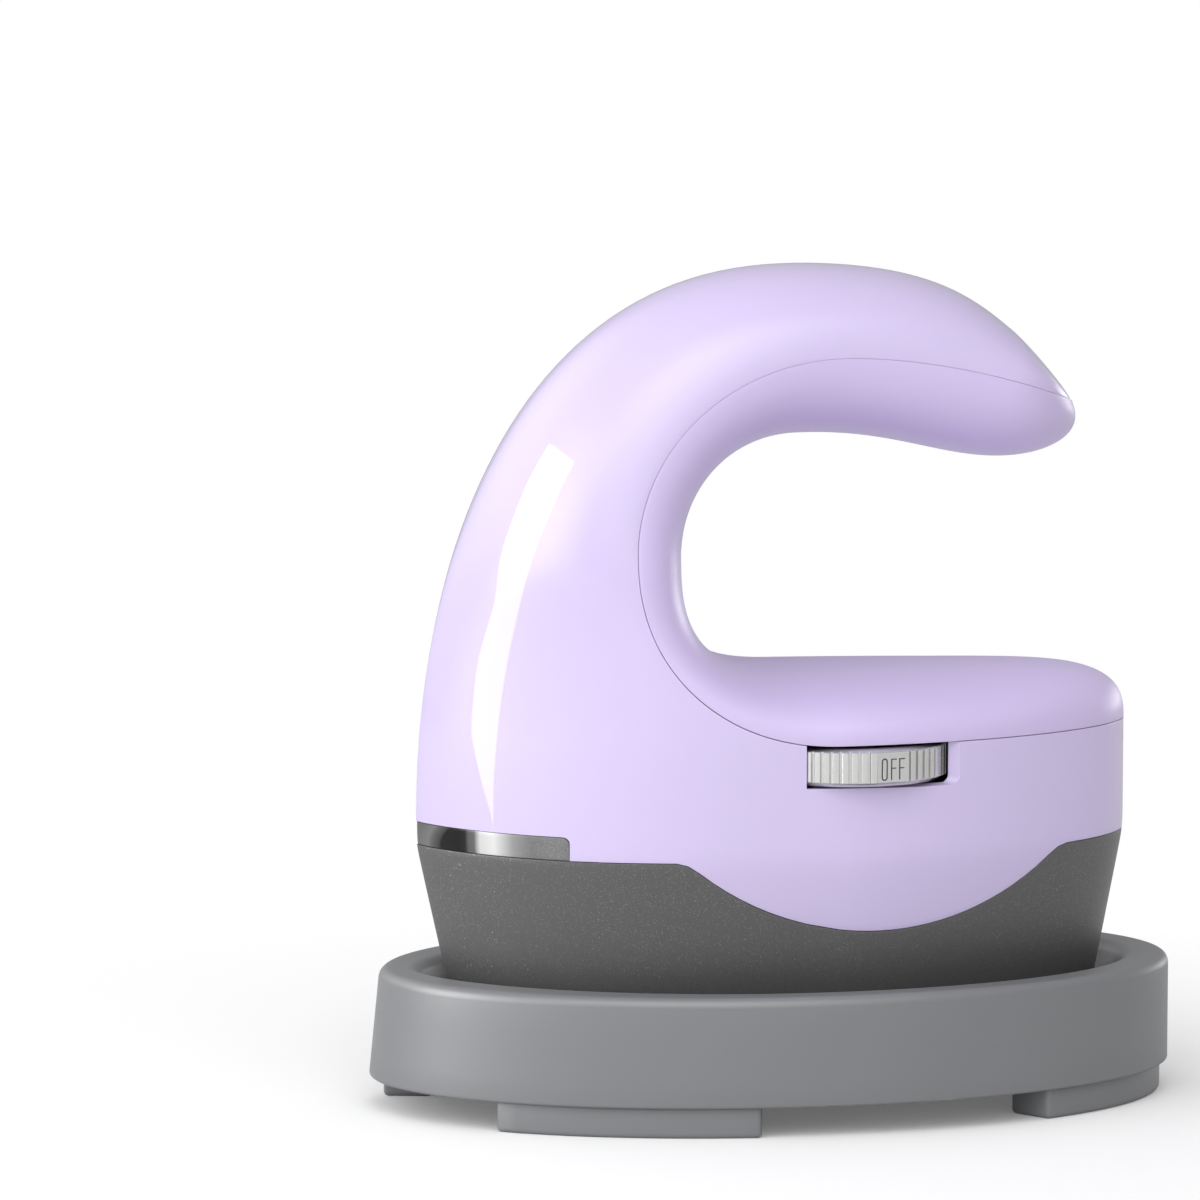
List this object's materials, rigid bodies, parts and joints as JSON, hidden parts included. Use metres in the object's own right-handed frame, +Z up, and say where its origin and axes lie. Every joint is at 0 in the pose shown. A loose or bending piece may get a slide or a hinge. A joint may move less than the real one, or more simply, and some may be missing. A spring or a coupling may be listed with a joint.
{
  "type": "mini heat press",
  "caption": "Palm-sized heat press with a C-shaped handle over a pointed heated plate, a side thumb dial and a footed cooling stand.",
  "frame": {"origin": "centre of the stand on the table, midway along and across the whole part", "axes": "+X from the pointed front of the press to its rounded heel, +Y away from the dial side, +Z up"},
  "size_m": [0.134, 0.0802, 0.1377],
  "materials": {
    "stand_plastic": "fine matte",
    "housing_plastic": "fine texture with small metallic flecks",
    "shell_plastic": "gloss",
    "cover_plastic": "satin",
    "window_plastic": "smoked, gloss",
    "plate_coating": "speckled ceramic coating",
    "heater_metal": "heat-dulled",
    "clamp_steel": "plain",
    "fibre_pad": "pressed fibre",
    "shield_sheet": "rolled sheet",
    "dark_resin": "moulded resin",
    "fuse_brass": "plain",
    "sensor_resin": "dipped",
    "board_laminate": "satin lacquer",
    "spacer_brass": "turned",
    "led_resin": "clear milky",
    "shaft_steel": "turned",
    "dial_silver": "satin silver",
    "terminal_resin": "moulded",
    "bushing_rubber": "smooth",
    "lead_silicone": "smooth",
    "screw_steel": "zinc"
  },
  "bodies": {
    "stand": {"stand_body": "stand_plastic"},
    "press": {"base_housing": "housing_plastic", "outer_shell": "shell_plastic", "inner_cover": "cover_plastic", "indicator_window": "window_plastic", "heating_plate": "plate_coating", "heating_element": "heater_metal", "element_clamp": "clamp_steel", "insulation_pad": "fibre_pad", "heat_shield": "shield_sheet", "thermostat": "dark_resin", "thermal_fuse": "fuse_brass", "temperature_sensor": "sensor_resin", "sensor_clip": "clamp_steel", "control_board": "board_laminate", "board_parts": "dark_resin", "board_spacers": "spacer_brass", "indicator_board": "board_laminate", "indicator_leds": "led_resin", "rotary_switch": "dark_resin", "switch_bracket": "clamp_steel", "terminal_block": "terminal_resin", "cord_bushing": "bushing_rubber", "cord_clamp": "dark_resin", "leads": "lead_silicone", "plate_screws": "screw_steel", "housing_screws": "screw_steel", "cover_screws": "screw_steel", "clamp_screws": "screw_steel", "board_screws": "screw_steel"},
    "dial": {"thumb_dial": "dial_silver", "switch_shaft": "shaft_steel"}
  },
  "joints": [
    {"name": "press_lift", "type": "slide", "parent": "stand", "child": "press", "axis": [0, 0, 1], "range_m": [0, 0.06]},
    {"name": "dial_turn", "type": "hinge", "parent": "press", "child": "dial", "pos_m": [0.0084, -0.0188, 0.05845], "axis": [0, 0, 1], "range_deg": [0, 270]}
  ]
}
